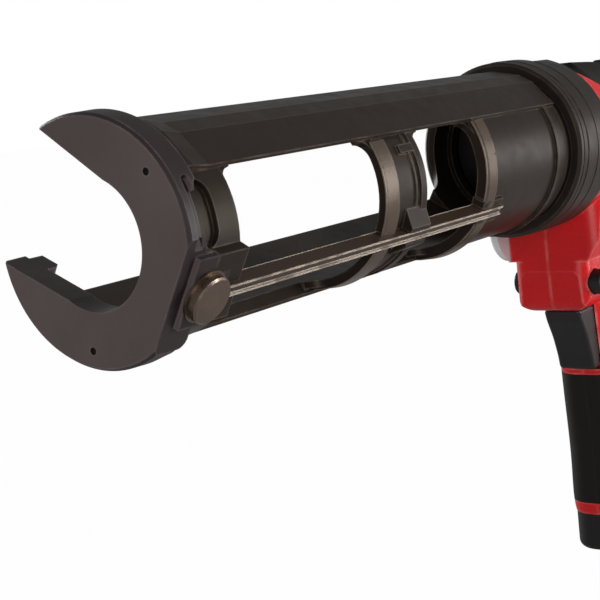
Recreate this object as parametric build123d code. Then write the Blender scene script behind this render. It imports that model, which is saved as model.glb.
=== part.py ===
"""Cordless caulking gun for 310 ml cartridges, as an assembly of separate pieces.

Frame: the origin is the centre of the cartridge seat, on the rod's axis.
+X points backwards along the rod, +Y to the gun's right, +Z up. Millimetres.
"""
from build123d import *
from math import acos, cos, hypot, pi, radians, sin, sqrt, tan
import os

os.makedirs("parts", exist_ok=True)

# ---------------------------------------------------------------- cartridge
cartridge_d = 50.0          # largest 310 ml cartridge
cartridge_length = 212.0    # rear rim to shoulder, nozzle and neck left out
cartridge_clearance = 1.0   # radial, in the carriage
pad_t = 4.8                 # pads behind the yoke's tips, which keep it in
cartridge_play = pad_t + 0.8
bore_r = cartridge_d / 2 + cartridge_clearance

# ---------------------------------------------------------------- clearances
run_fit = 0.05              # radial, shaft in bearing
slide_gap = 0.35            # between faces that move past each other
face_gap = 0.3              # between turning flat faces
seat_gap = 0.1              # pieces of one body that only lie in each other

# ---------------------------------------------------------------- carriage
carriage_tilt = 30.0        # the mouth is turned this far up from the right
wall = 3.2
hoop_r = bore_r + wall
bead = 1.1                  # raised beads on hoops and sleeve
rail_r = 30.4               # corners of the rails' flat outside faces
rail_reach = 14.2           # rails pass the axis by this towards the mouth
rail_edge_deg = 61.5        # lower edge of a rail, from the spine
rail_face_deg = (62.3, 85.0)
rail_ridge_deg = 96.0
neck_x = (12.0, 19.0)       # where a rail flares out to the yoke, from its face
yoke_r = 33.0
yoke_t = 8.2
yoke_edge = ((0.0, 1.0), (1.2, 0.2))    # depth and how much lower the rim is there
yoke_pad_r = 31.7           # rim of the pads behind the yoke, and of the rails there
yoke_flat = 28.5            # flat on the yoke's back, from the axis
yoke_heel = (12.0, -16.6, 12.0)   # depth of the yoke at that flat, and how far it goes
yoke_rim = (3.4, 31.3)      # behind this depth the rim is lower by the groove
slot_r = 17.4
slot_flare_deg = 5.3        # the yoke's slot opens outwards
slot_relief = 17.2
pad_step = (15.6, 19.0)     # the pads rise between these, from the axis
front_hoop_w = 8.0
front_hoop_x = 15.7         # from the yoke's face to the hoop's raised band
groove_x = 6.2              # front of the grooves there, from the yoke's face
groove_deg = ((22.5, 30.0), 58.0)    # start of the upper and the lower one, and end
window_corner_r = 5.0
groove_depth = 1.8
mid_hoop_x = 94.0           # from the yoke's face
mid_hoop_w = 22.4
mid_bead_w = 5.2
lug_x = (11.6, 22.4)        # stop lugs on the middle hoop, from its front
lug_section = ((-27.5, 7.9), (-31.8, 3.3), (-31.8, 1.75), (-24.0, 1.75))
pad_x = (12.0, 19.6)        # raised pads at the ends of that hoop
pad_deg = (49.5, 55.0)
bead_end = 13.9             # beads stop inside the rails, this far from the axis
plate_z = (-9.0, 11.3)      # raised plate that the rivet sits on
sleeve_x = 154.0            # from the yoke's face
sleeve_bead_w = 5.0
ring_depth = 10.0           # closed ring ahead of the seat
mouth_corner_r = 8.0
seat_t = 3.0                # ledge that the cartridge stands on
seat_hole_r = 24.0
flange_r = 29.9
flange_t = 6.0
ring_r = 28.6
spine_w = 3.2
spine_r = 31.5
spine_groove = (2.2, 0.7)   # width and depth
rivet_r = 6.65
rivet_top = 33.4            # from the axis
rivet_dish = (7.4, 0.6)     # radius and thickness of the dish under the head
rivet_shank_r = 2.2
tongue_w = 11.0
tongue_t = 2.0
tongue_length = 10.0
pin_r = 1.0
pin_length = 9.0
pin_circle_r = 27.7
pin_deg = 68.0

heel_floor = 27.2           # inner side of the yoke's heel, from the axis
tongue_y = 30.2             # outer side of the yoke's tongue, from the axis

seat_x = 0.0
yoke_back_x = seat_x - cartridge_length - cartridge_play
yoke_x = yoke_back_x - yoke_t
rivet_x = yoke_x + 10.5

# ---------------------------------------------------------------- coupling
collar_x = -6.0
collar_r = 32.9
collar_lip_t = 2.7
skirt_t = 1.0
skirt_depth = 7.0
joint_x = 0.4               # where collar and nose meet outside
bayonet_lugs = 3
bayonet_deg = 22.0
bayonet_turn_deg = 40.0
bayonet_h = 0.5
nose_front_r = 33.2         # nose ahead of its shade line
nose_step_x = 8.6
nose_r = 33.4
nose_flat_z = 31.9          # flattened top of the nose
nose_rear_x = 22.0
pocket_r = 24.2
pocket_rear_x = 15.6
spigot_r = 18.6
clamp_r = 20.6
clamp_x = (25.4, 28.4)

# ---------------------------------------------------------------- rod
rod_w = 9.0
rod_top = 5.0
rack_module = 1.25
rack_pitch_z = -6.0
pressure_deg = 25.0
backlash = 0.16
rod_travel = 205.0
plunger_r = 23.0
plunger_t = 9.0
plunger_x = 1.2
seal_r = 23.6
rod_front_x = plunger_x + 3.0
loop_r = 15.0
loop_wire_r = 3.0
loop_shank_r = 7.0
loop_shank_l = 14.0
loop_pin_r = 1.6

# ---------------------------------------------------------------- drive
pinion_teeth = 12
pinion_x = 46.5
pinion_w = 6.4
pinion_y = 1.0              # the rack pinion sits a little off the centre
spur_module = 1.0
spur_teeth = (27, 13)       # on the pinion shaft, on the cross shaft
spur_y = (8.0, 13.0)
bevel_module = 1.25
bevel_teeth = (20, 10)      # on the cross shaft, on the gearbox output
bevel_face = 4.0
shaft_r = 3.0
bearing_r = 6.5
bearing_y = (14.2, 17.8)
planet_module = 0.5
sun_teeth = 12
planet_teeth = 15
planet_count = 3
ring_teeth = sun_teeth + 2 * planet_teeth
gearbox_r = 14.0
gearbox_x = (65.5, 79.5)
motor_r = 14.0
motor_x = (79.5, 114.5)
motor_shaft_r = 1.6

# ---------------------------------------------------------------- housing
shell_t = 3.2
rubber_t = 1.6
body_rear_x = 128.0
side_profile = (            # x, z, corner radius, seen from the gun's left
    (22.4, 30.0, 3.0),
    (40.0, 29.2, 60.0),
    (60.0, 27.8, 40.0),
    (90.0, 26.1, 40.0),
    (112.0, 24.0, 16.0),
    (126.0, 15.0, 8.0),
    (128.0, -6.0, 30.0),
    (126.0, -38.0, 14.0),
    (114.0, -56.0, 12.0),
    (96.0, -68.5, 8.0),
    (27.0, -68.5, 5.0),
    (26.5, -54.0, 12.0),
    (22.4, -34.0, 10.0),
)
end_profile = (             # y, z, corner radius, right half seen from the rear
    (24.5, 32.0, 16.0),
    (24.5, -14.0, 50.0),
    (21.8, -40.0, 8.0),
    (17.0, -47.5, 6.0),
    (16.2, -68.5, 9.0),
)
front_x = 26.0              # front of the body under the shoulder
front_corner_r = (8.0, 6.0) # of the body and of its keel
keel_z = -47.5              # below this the body is only as wide as its keel
shoulder = ((22.4, 32.8), (32.0, 32.2), (56.0, 24.0))    # x and radius behind the nose
battery_gap = 0.4
battery_top = -95.1
cell_l = 65.0
base_top = battery_top - 1.5 - cell_l - 1.0
grip_bottom = base_top + battery_gap
rim_z = grip_bottom + 5.2   # rim left bare between the rubber and the battery
grip_sections = (           # height, front, rear, half width
    (-46.0, 44.0, 91.0, 15.5),
    (-60.0, 44.5, 92.5, 17.5),
    (-78.0, 47.0, 95.0, 20.5),
    (-100.0, 50.0, 98.5, 22.3),
    (-120.0, 52.0, 101.0, 23.0),
    (rim_z + 11.5, 53.3, 101.6, 23.4),
    (rim_z, 53.3, 101.6, 23.4),
    (grip_bottom, 54.1, 100.8, 22.6),
)
grip_front_w = 0.45         # the grip's front face, as a share of its width
grip_side_l = 20.0          # straight sides of the grip, ahead of its back
grip_radii = (9.0, 20.0, 7.0)    # front, side and back corners
grip_rubber = (             # x and z of the grip cover's outline
    (40.0, -101.0), (60.0, -98.0), (74.0, -88.0), (82.0, -74.0), (92.0, -58.0),
    (106.0, -47.0), (140.0, -43.0), (140.0, rim_z), (40.0, rim_z),
)
top_rubber = (              # x and z of the top cover's outline
    (20.0, 27.0), (24.0, 25.0), (29.0, 22.0), (34.0, 19.3), (46.0, 15.0), (60.0, 13.0),
    (104.0, 12.0), (140.0, 12.0), (140.0, 45.0), (20.0, 45.0),
)
rib_x = (70.0, 85.0, 101.0, 115.5)    # ribs that hold motor, spring and rear guide
rib_t = 2.0
board = (66.0, 106.0, 11.5, -54.6, -53.0)    # x0, x1, half width, z0, z1
vents = (88.0, 92.5, 97.0, 104.5, 109.0)
vent_size = (2.0, -30.0, -12.0)
screw_r = 1.5
screw_head_r = 2.9
screw_y = (-14.0, 16.0, 18.2)    # tip, seat and top of the head
boss_r = 3.8
screw_spots = ((35.0, 21.0), (119.0, 13.2), (121.0, -36.0), (88.0, -74.0), (91.5, -90.5))

# ---------------------------------------------------------------- controls
trigger_outline = (
    (34.0, -68.9), (35.8, -74.0), (40.2, -82.0), (43.2, -90.0),
    (44.6, -96.0), (49.6, -96.0), (49.6, -68.9),
)
trigger_w = 16.0
trigger_travel = 6.0
trigger_opening_box = (33.5, 56.0, -97.0, -68.5)       # x0, x1, z0, z1
trigger_stem = (61.5, 8.0, -79.4, -71.5)         # end, width, z0, z1
switch_box = (62.5, 82.0, 10.0, -85.0, -70.0)    # x0, x1, half width, z0, z1
lock_x = 34.0
lock_z = -57.0
lock_r = 5.0
lock_y = (-20.5, 17.5)
lock_travel = 3.0
release_x = (96.5, 112.5)
release_w = 13.0
release_z = (16.0, 29.0)    # foot and top
release_travel = 3.0
dial_x = 118.2
dial_z = -12.5
dial_r = 12.0
dial_y = (-17.5, -10.5)
dial_axle_r = 2.0

# ---------------------------------------------------------------- battery
cell_r = 9.1
cell_spots = ((67.2, 0.0), (83.3, 9.2), (83.3, -9.2))
cell_space = 0.2
battery_wall = 1.2
head_x = (64.0, 86.0)
head_half_w = 9.0
head_top = battery_top + 5.5
contact_x = (67.0, 81.0)
base_h = 16.6
base_bottom = base_top - base_h
base_plan = (54.4, 100.5, 22.3)    # front, rear, half width
battery_travel = head_top - grip_bottom + 0.5
latch_x = (82.0, 94.5)
latch_y = (19.4, 23.3)
latch_z = (base_bottom + 2.2, base_bottom + 10.4)
latch_arm = (91.2, 94.5, 18.7, 20.1, grip_bottom + 4.5)    # x0, x1, y0, y1, top
latch_travel = 1.2


# ================================================================ helpers
def block(x0, x1, y0, y1, z0, z1):
    centre = ((x0 + x1) / 2, (y0 + y1) / 2, (z0 + z1) / 2)
    return Pos(*centre) * Box(x1 - x0, y1 - y0, z1 - z0)


def rod_x(r, x0, x1, y=0.0, z=0.0):
    return Pos((x0 + x1) / 2, y, z) * Rot(0, 90, 0) * Cylinder(r, x1 - x0)


def rod_y(r, y0, y1, x=0.0, z=0.0):
    return Pos(x, (y0 + y1) / 2, z) * Rot(90, 0, 0) * Cylinder(r, y1 - y0)


def rod_z(r, z0, z1, x=0.0, y=0.0):
    return Pos(x, y, (z0 + z1) / 2) * Cylinder(r, z1 - z0)


def tube_x(r_out, r_in, x0, x1, y=0.0, z=0.0):
    return rod_x(r_out, x0, x1, y, z) - rod_x(r_in, x0 - 1, x1 + 1, y, z)


def tube_y(r_out, r_in, y0, y1, x=0.0, z=0.0):
    return rod_y(r_out, y0, y1, x, z) - rod_y(r_in, y0 - 1, y1 + 1, x, z)


def face_on(plane, points):
    return make_face(plane * Polyline(*points, close=True))


def plane_yz(x):
    return Plane(origin=(x, 0, 0), x_dir=(0, 1, 0), z_dir=(1, 0, 0))


def plane_xz(y):
    return Plane(origin=(0, y, 0), x_dir=(1, 0, 0), z_dir=(0, -1, 0))


def prism_x(points, x0, x1):
    return extrude(face_on(plane_yz(x0), points), x1 - x0, dir=(1, 0, 0))


def prism_y(points, y0, y1):
    return extrude(face_on(plane_xz(y0), points), y1 - y0, dir=(0, 1, 0))


def prism_z(points, z0, z1):
    return extrude(face_on(Plane.XY.offset(z0), points), z1 - z0, dir=(0, 0, 1))


def rounded(face, radii):
    """The face with its corners rounded, one radius for each corner, in order."""
    for corner, r in radii:
        near = sorted(face.vertices(), key=lambda v: (v.center() - corner).length)
        face = fillet(near[0], r)
    return face


def parts_of(shape):
    """Separate solids of one shape, as a flat list."""
    return list(shape.solids())


# ================================================================ gears
def tooth_half_angle(r, pitch_r, teeth, thin, grow=0.0):
    base_r = pitch_r * cos(radians(pressure_deg))
    at_pitch = tan(radians(pressure_deg)) - radians(pressure_deg)
    turn = acos(min(1.0, base_r / r))
    half = (pi * pitch_r / teeth - thin / 2 + grow) / 2 / pitch_r
    return half + at_pitch - (tan(turn) - turn)


def tooth_flank(pitch_r, teeth, module, thin, add=1.0, ded=1.25, steps=4, grow=0.0):
    """Half width and radius of a tooth, from its root to its tip."""
    base_r = pitch_r * cos(radians(pressure_deg))
    root = pitch_r - ded * module
    tip = pitch_r + add * module
    start = max(root, base_r)
    flank = []
    if start > root:
        flank.append((root, tooth_half_angle(base_r, pitch_r, teeth, thin, grow)))
    for i in range(steps + 1):
        r = start + (tip - start) * i / steps
        flank.append((r, tooth_half_angle(r, pitch_r, teeth, thin, grow)))
    return flank


def gear_outline(teeth, module, first_deg=90.0, thin=backlash, **shape):
    """Outline of a spur gear with one tooth's middle at first_deg."""
    flank = tooth_flank(module * teeth / 2, teeth, module, thin, **shape)
    points = []
    for i in range(teeth):
        middle = radians(first_deg + 360.0 * i / teeth)
        for r, half in flank:
            points.append((r * cos(middle - half), r * sin(middle - half)))
        for r, half in reversed(flank):
            points.append((r * cos(middle + half), r * sin(middle + half)))
    return points


def spur_y_axis(teeth, module, y0, y1, x, z, first_deg):
    outline = [(x + a, z + b) for a, b in gear_outline(teeth, module, first_deg)]
    return prism_y(outline, y0, y1)


def bevel_tooth(teeth, module, cone_deg, cone_r, face, k_top, spin_deg, axis):
    """One straight bevel tooth; its apex is the origin, its axis X or Y."""
    cone = radians(cone_deg)
    formative_r = module * teeth / 2 / cos(cone)
    formative_teeth = teeth / cos(cone)
    flank = tooth_flank(formative_r, formative_teeth, module, backlash, ded=1.45)
    section = [(-r * sin(h), r * cos(h) - formative_r) for r, h in flank]
    section += [(r * sin(h), r * cos(h) - formative_r) for r, h in reversed(flank)]
    spin = radians(spin_deg)
    rings = []
    for k in (1.0, k_top):
        ring = []
        for t, n in section:
            along = k * (cone_r * cos(cone) - n * sin(cone))
            out = k * (cone_r * sin(cone) + n * cos(cone))
            a = out * cos(spin) - k * t * sin(spin)
            b = out * sin(spin) + k * t * cos(spin)
            ring.append((along, a, b) if axis == "x" else (b, along, a))
        rings.append(Polyline(*ring, close=True))
    wires = [Wire(ring.edges()) for ring in rings]
    return Solid.make_loft(wires, ruled=True)


def bevel_gear(teeth, mate_teeth, module, face, back, axis, first_deg):
    """A straight bevel gear with its apex at the origin, pointing along +axis."""
    cone_r = module * hypot(teeth, mate_teeth) / 2
    cone_deg = 180 / pi * acos(mate_teeth / hypot(teeth, mate_teeth))
    cone = radians(cone_deg)
    k_top = (cone_r - face) / cone_r
    ded = 1.25 * module
    along = cone_r * cos(cone) + ded * sin(cone)
    out = cone_r * sin(cone) - ded * cos(cone)
    rim = [(k_top * along, 0), (k_top * along, k_top * out), (along, out)]
    rim += [(along + back, out), (along + back, 0)]
    if axis == "x":
        section = face_on(plane_xz(0), rim)
        body = revolve(section, Axis.X, 360)
    else:
        section = face_on(Plane.XY, [(r, a) for a, r in rim])
        body = revolve(section, Axis.Y, 360)
    teeth_list = []
    for i in range(teeth):
        spin = first_deg + 360.0 * i / teeth
        tooth = bevel_tooth(teeth, module, cone_deg, cone_r, face, k_top, spin, axis)
        teeth_list.append(tooth)
    return body.fuse(*teeth_list)


# ================================================================ carriage
# The carriage is drawn with its spine at -Y and its mouth at +Y,
# and turned to its rest position at the end.
def polar(r, deg):
    return (-r * cos(radians(deg)), r * sin(radians(deg)))


def rail_outline(scale=1.0):
    inside = bore_r - 4
    mouth = bore_r + 0.2
    lip = bore_r + 0.95
    face_low = polar(rail_r * scale, rail_face_deg[0])
    face_high = polar(rail_r * scale, rail_face_deg[1])
    ridge = polar(rail_r * scale, rail_ridge_deg)
    return [
        polar(inside + 0.8, rail_edge_deg + 9.4),
        polar(rail_r * scale - 1.0, rail_edge_deg),
        face_low,
        face_high,
        ridge,
        (rail_reach - 1.4, lip),
        (rail_reach, mouth),
        (rail_reach, inside - 5),
        (0.0, inside - 5),
    ]


def rail_pair():
    first = prism_x(rail_outline(), yoke_back_x, seat_x - ring_depth)
    flared = rail_outline(yoke_pad_r / rail_r)
    neck_start, neck_end = yoke_x + neck_x[0], yoke_x + neck_x[1]
    near = face_on(plane_yz(neck_start), flared)
    far = face_on(plane_yz(neck_end), rail_outline())
    neck = loft([near, far], ruled=True)
    rail = first + neck + prism_x(flared, yoke_back_x, neck_start)
    return rail + rail.mirror(Plane.XY)


def mouth_cut():
    """What is open for the cartridge: the bore and the way out of it."""
    start = yoke_x - 5
    end = seat_x - ring_depth
    channel = block(start, end - mouth_corner_r, 0, 60, -bore_r, bore_r)
    above = [(start, rail_reach), (end, rail_reach), (end, 60), (start, 60)]
    face = face_on(Plane.XY, above)
    face = rounded(face, [(Vector(end, rail_reach, 0), mouth_corner_r)])
    gap = extrude(face, 80, both=True)
    return channel + gap


def half_band(r_out, x0, x1):
    """A hoop about the axis, open towards the mouth."""
    return rod_x(r_out, x0, x1) - block(x0 - 1, x1 + 1, rail_reach, 60, -60, 60)


def bead_band(r_out, x0, x1):
    """A raised bead round a hoop, from rail to rail."""
    return rod_x(r_out, x0, x1) - block(x0 - 1, x1 + 1, -bead_end, 60, -60, 60)


def hoop_pads(x0, x1):
    low, high = pad_deg
    wedge = [(0, 0), polar(60, low), polar(60, high)]
    pad = (rod_x(hoop_r + 0.1, x0, x1) - rod_x(bore_r + 1, x0 - 1, x1 + 1)) & prism_x(wedge, x0, x1)
    return [pad, pad.mirror(Plane.XY)]


def groove(x0, x1, deg0, deg1, r_floor):
    """A shallow slot round a hoop, with round ends."""
    half = (x1 - x0) / 2
    end_deg = half / hoop_r * 180 / pi
    a, b = deg0 + end_deg, deg1 - end_deg
    wedge = [(0, 0), polar(60, a), polar(70, (a + b) / 2), polar(60, b)]
    cutter = prism_x(wedge, x0, x1)
    for deg in (a, b):
        y, z = polar(1, deg)
        along = Plane(origin=(x0 + half, 0, 0), z_dir=(0, y, z))
        cutter += extrude(along * Circle(half), 60)
    return cutter - rod_x(r_floor, x0 - 1, x1 + 1)


def hoop_grooves():
    x0, x1 = yoke_x + groove_x, yoke_x + front_hoop_x
    floor = hoop_r - groove_depth
    low, high = groove_deg
    upper = groove(x0, x1, low[0], high, floor)
    lower = groove(x0, x1, low[1], high, floor)
    return [upper, lower.mirror(Plane.XY)]


def window_corners(x, towards):
    """Rounds the corners between a hoop's edge at x and the rails' lower edges."""
    r = window_corner_r
    turn = r / hoop_r * 180 / pi
    low, high = rail_edge_deg - turn, rail_edge_deg + 6
    wedge = [(0, 0), polar(60, low), polar(60, high)]
    x0, x1 = sorted((x, x + towards * r))
    web = (rod_x(hoop_r - 0.8, x0, x1) - rod_x(bore_r, x0 - 1, x1 + 1))
    web &= prism_x(wedge, x0, x1)
    y, z = polar(1, low)
    across = Plane(origin=(x + towards * r, 0, 0), z_dir=(0, y, z))
    web -= extrude(across * Circle(r), 60)
    return [web, web.mirror(Plane.XY)]


def spine_bar(x0, x1, gap=0.0):
    half = spine_w / 2 + gap
    return block(x0, x1, -spine_r, -bore_r - 0.4, -half, half)


def make_carriage_frame():
    front_hoop = yoke_x + front_hoop_x
    mid = yoke_x + mid_hoop_x
    sleeve = yoke_x + sleeve_x
    ring_x = seat_x - ring_depth
    rear_band_x = yoke_x + 206.0
    frame = half_band(hoop_r, yoke_back_x, front_hoop + front_hoop_w)
    frame -= hoop_grooves()
    frame += half_band(hoop_r - 1.0, mid, mid + mid_hoop_w)
    frame += half_band(hoop_r, mid, mid + mid_bead_w)
    frame += half_band(hoop_r, mid + mid_hoop_w - 3.2, mid + mid_hoop_w)
    frame += half_band(hoop_r - 0.5, mid + mid_hoop_w - 5.6, mid + mid_hoop_w - 4.6)
    frame += half_band(hoop_r, sleeve, ring_x + 0.5)
    frame += bead_band(hoop_r + bead, sleeve, sleeve + sleeve_bead_w)
    frame += bead_band(hoop_r + bead, rear_band_x, rear_band_x + 1.6)
    frame += rail_pair()
    for x, towards in (
        (front_hoop + front_hoop_w, 1), (mid, -1), (mid + mid_hoop_w, 1), (sleeve, -1),
    ):
        frame += window_corners(x, towards)
    lug = prism_x(lug_section, mid + lug_x[0], mid + lug_x[1])
    frame += [lug, lug.mirror(Plane.XY)]
    frame += hoop_pads(mid + pad_x[0], mid + pad_x[1])
    boss_end = front_hoop + front_hoop_w
    boss = block(yoke_back_x, boss_end, -tongue_y, -20, *plate_z)
    frame += boss
    web = block(sleeve - 1, sleeve + 12, -hoop_r - 1.2, -20, -4.2, 4.2)
    frame += web
    frame -= mouth_cut()
    frame += rod_x(ring_r, ring_x, seat_x - seat_t + 0.5)
    frame += rod_x(flange_r, seat_x + seat_t - flange_t, seat_x + seat_t)
    corner = block(ring_x - mouth_corner_r, ring_x, rail_reach, 60, -60, 60)
    frame += (rod_x(ring_r, ring_x - mouth_corner_r, ring_x) & corner) - mouth_cut()
    frame -= rod_x(bore_r, yoke_x - 5, seat_x)
    frame -= rod_x(seat_hole_r, seat_x - 1, seat_x + seat_t + 1)
    tongue_x = yoke_back_x + tongue_length + seat_gap
    low = tongue_y - tongue_t - seat_gap
    half = tongue_w / 2 + seat_gap
    frame -= block(yoke_back_x - 1, tongue_x, -40, -low, -half, half)
    frame -= spine_bar(yoke_back_x + tongue_length, sleeve + 12.1, seat_gap)
    frame -= rod_y(rivet_shank_r, -40, -20, rivet_x)
    frame -= yoke_heel_block(seat_gap, 40)
    pad_end = yoke_x + yoke_heel[0] + seat_gap
    low, high = plate_z
    frame -= block(yoke_back_x - 1, pad_end, -40, -28 + seat_gap, low - seat_gap, high + seat_gap)
    for deg in yoke_pin_degs():
        y, z = polar(pin_circle_r, deg)
        frame -= rod_x(pin_r, yoke_back_x - 1, yoke_back_x + pin_length, y, z)
    return frame


def yoke_heel_block(gap=0.0, far=yoke_flat):
    """Thicker part of the yoke at its flat, over the carriage's front hoop."""
    depth, low, high = yoke_heel
    end = yoke_x + depth + gap
    heel = block(yoke_back_x - 1, end, -far, -18, low - gap, high + gap)
    heel = fillet(heel.edges().filter_by(Axis.Y).group_by(Axis.X)[-1], 3.0)
    return heel - rod_x(heel_floor - gap, yoke_back_x - 2, end + 1)


def yoke_pin_degs():
    return (pin_deg, -pin_deg)


def yoke_outline(x0, x1):
    disc = rod_x(yoke_r, x0, x1) - block(x0 - 1, x1 + 1, -60, -yoke_flat, -60, 60)
    flare = tan(radians(slot_flare_deg))
    far = yoke_r + 5
    mouth = slot_relief + flare * far
    slot = [(0, -slot_relief), (far, -mouth), (far, mouth), (0, slot_relief)]
    return disc - prism_x(slot, x0 - 1, x1 + 1) - rod_x(slot_r, x0 - 1, x1 + 1)


def yoke_cone():
    """The yoke's front edge is eased and its pads are lower: nothing lies outside this."""
    deep = yoke_t + pad_t + 1
    cone = [(yoke_x, 0)] + [(yoke_x + x, yoke_r - low) for x, low in yoke_edge]
    cone += [(yoke_back_x, yoke_r), (yoke_back_x, yoke_pad_r)]
    cone += [(yoke_x + deep, yoke_pad_r), (yoke_x + deep, 0)]
    return revolve(face_on(Plane.XY, cone), Axis.X, 360)


def make_front_yoke():
    plate = yoke_outline(yoke_x, yoke_back_x)
    pads = yoke_outline(yoke_back_x - 0.5, yoke_back_x + pad_t)
    low, high = pad_step
    step = [(yoke_back_x - 0.5, low), (yoke_back_x, low), (yoke_back_x + pad_t, high)]
    step += [(yoke_back_x + pad_t, 60), (yoke_back_x - 0.5, 60)]
    pads &= extrude(face_on(Plane.XY, step), 60, both=True)
    pads -= rod_x(bore_r, yoke_back_x, yoke_back_x + pad_t + 1)
    yoke = (plate + pads) & yoke_cone()
    yoke -= hoop_grooves()
    step_x, step_r = yoke_rim
    upper = groove(yoke_x + step_x, yoke_x + groove_x + 0.1, groove_deg[0][0], groove_deg[1], step_r)
    yoke -= upper
    yoke += yoke_heel_block()
    end = yoke_back_x + tongue_length
    yoke += block(yoke_x + 4.4, yoke_x + yoke_heel[0], -tongue_y, -28, *plate_z)
    low, high = tongue_y - tongue_t, tongue_y
    tongue = block(yoke_back_x - 3, end, -high, -low, -tongue_w / 2, tongue_w / 2)
    yoke += tongue
    yoke -= rod_y(rivet_shank_r, -40, -20, rivet_x)
    for deg in yoke_pin_degs():
        y, z = polar(pin_circle_r, deg)
        yoke -= rod_x(pin_r, yoke_x - 1, yoke_back_x + pad_t + 1, y, z)
    return yoke


def make_yoke_pins():
    pins = []
    for deg in yoke_pin_degs():
        y, z = polar(pin_circle_r, deg)
        pins.append(rod_x(pin_r - 0.02, yoke_x + 0.25, yoke_back_x + pin_length - 0.4, y, z))
    return pins


def make_spine_rail():
    bar = spine_bar(yoke_back_x + tongue_length + 0.2, yoke_x + sleeve_x + 12.0)
    width, depth = spine_groove
    bar -= block(yoke_x, seat_x, -spine_r - 1, -spine_r + depth, -width / 2, width / 2)
    return bar


def make_spine_rivet():
    dish_r, dish_t = rivet_dish
    head = rod_y(rivet_r, -rivet_top, -tongue_y, rivet_x)
    head = chamfer(head.edges().group_by(Axis.Y)[0], 0.5)
    head += rod_y(dish_r, -tongue_y - dish_t, -tongue_y, rivet_x)
    shank_r = rivet_shank_r - 0.02
    return head + rod_y(shank_r, -tongue_y, -bore_r - 0.3, rivet_x)


# ================================================================ coupling
def sector_x(r_in, r_out, x0, x1, middle_deg, wide_deg):
    """A piece of a ring about the axis, wide_deg wide."""
    a = radians(middle_deg - wide_deg / 2)
    b = radians(middle_deg + wide_deg / 2)
    m = (a + b) / 2
    far = r_out * 2
    wedge = [(0, 0)] + [(far * cos(t), far * sin(t)) for t in (a, m, b)]
    return tube_x(r_out, r_in, x0, x1) & prism_x(wedge, x0 - 1, x1 + 1)


def bayonet_middles():
    return [90 + 360 / bayonet_lugs * i for i in range(bayonet_lugs)]


def skirt_radii():
    inner = flange_r + slide_gap
    return inner, inner + skirt_t


def make_coupling_collar():
    lip_end = collar_x + collar_lip_t
    skirt_in, skirt_out = skirt_radii()
    outside = rod_x(collar_r, collar_x, joint_x - face_gap)
    front = outside.edges().group_by(Axis.X)[0]
    outside = chamfer(front, 1.1)
    collar = outside + rod_x(skirt_out, collar_x + 2, skirt_depth)
    collar -= rod_x(ring_r + slide_gap, collar_x - 1, lip_end + 1)
    collar -= rod_x(skirt_in, lip_end, skirt_depth + 1)
    for deg in bayonet_middles():
        lug_r = skirt_out + bayonet_h
        lug = sector_x(skirt_in, lug_r, skirt_depth - 2, skirt_depth, deg, bayonet_deg)
        collar += lug
    ridge_x = (collar_x + joint_x) / 2
    collar -= tube_x(collar_r + 1, collar_r - 0.5, ridge_x - 0.4, ridge_x + 0.4)
    return collar


def make_nose_housing():
    skirt_in, skirt_out = skirt_radii()
    trench_out = skirt_out + slide_gap
    nose = rod_x(nose_r, nose_step_x, nose_rear_x)
    nose = fillet(nose.edges().group_by(Axis.X)[-1], 2.0)
    nose -= block(nose_step_x - 1, nose_rear_x + 1, -40, 40, nose_flat_z, 60)
    front = rod_x(nose_front_r, joint_x, nose_step_x + 1)
    nose += chamfer(front.edges().group_by(Axis.X)[0], 0.4)
    nose -= rod_x(trench_out, joint_x - 1, skirt_depth + slide_gap)
    face_x = seat_x + seat_t + face_gap
    nose += rod_x(skirt_in - slide_gap, face_x, skirt_depth + 2)
    track_out = skirt_out + bayonet_h + slide_gap
    track = (skirt_depth - 2 - slide_gap, skirt_depth + slide_gap)
    nose -= tube_x(track_out, trench_out - 1, *track)
    for deg in bayonet_middles():
        way = deg + bayonet_turn_deg + bayonet_deg
        wide = bayonet_deg + 3
        nose -= sector_x(trench_out - 1, track_out, joint_x - 1, track[1], way, wide)
    nose -= rod_x(pocket_r, face_x - 1, pocket_rear_x)
    nose += rod_x(spigot_r, nose_rear_x - 1, clamp_x[1])
    nose += rod_x(clamp_r, *clamp_x)
    nose -= rod_x(guide_r, pocket_rear_x - 1, clamp_x[1] + 1)
    return nose


# ================================================================ rod
def rod_outline(gap=0.0):
    half = rod_w / 2 + gap
    low = rack_pitch_z - rack_module - gap
    return (-half, half, low, rod_top + gap)


rack_root_z = rack_pitch_z + 1.25 * rack_module
guide_r = 11.0
guide_rear_x = (112.8, 127.0)
guide_rear_box = (8.6, -11.0, 9.0)
rod_rear_x = body_rear_x + rod_travel + 3.0


def make_push_rod():
    root = rack_root_z
    bar = block(rod_front_x, rod_rear_x + 8, -rod_w / 2, rod_w / 2, root, rod_top)
    corners = bar.edges().filter_by(Axis.X).group_by(Axis.Z)[-1]
    bar = fillet(corners, 2.0)
    pitch = pi * rack_module
    half = (pitch / 2 - backlash / 2) / 2
    lean = tan(radians(pressure_deg))
    tip = rack_pitch_z - rack_module
    low, high = half - lean * rack_module, half + lean * 1.25 * rack_module
    teeth = []
    first = -4
    count = int((rod_travel + 16) / pitch)
    for i in range(first, count):
        x = pinion_x + (i + 0.5) * pitch
        outline = [(x - high, root), (x - low, tip), (x + low, tip), (x + high, root)]
        outline += [(x + high, root + 0.5), (x - high, root + 0.5)]
        teeth.append(prism_y(outline, -rod_w / 2, rod_w / 2))
    bar = bar.fuse(*teeth)
    bar -= rod_x(2.1, rod_front_x - 1, rod_front_x + 14)
    bar -= rod_y(loop_pin_r, -10, 10, rod_rear_x + 4)
    return bar


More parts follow.
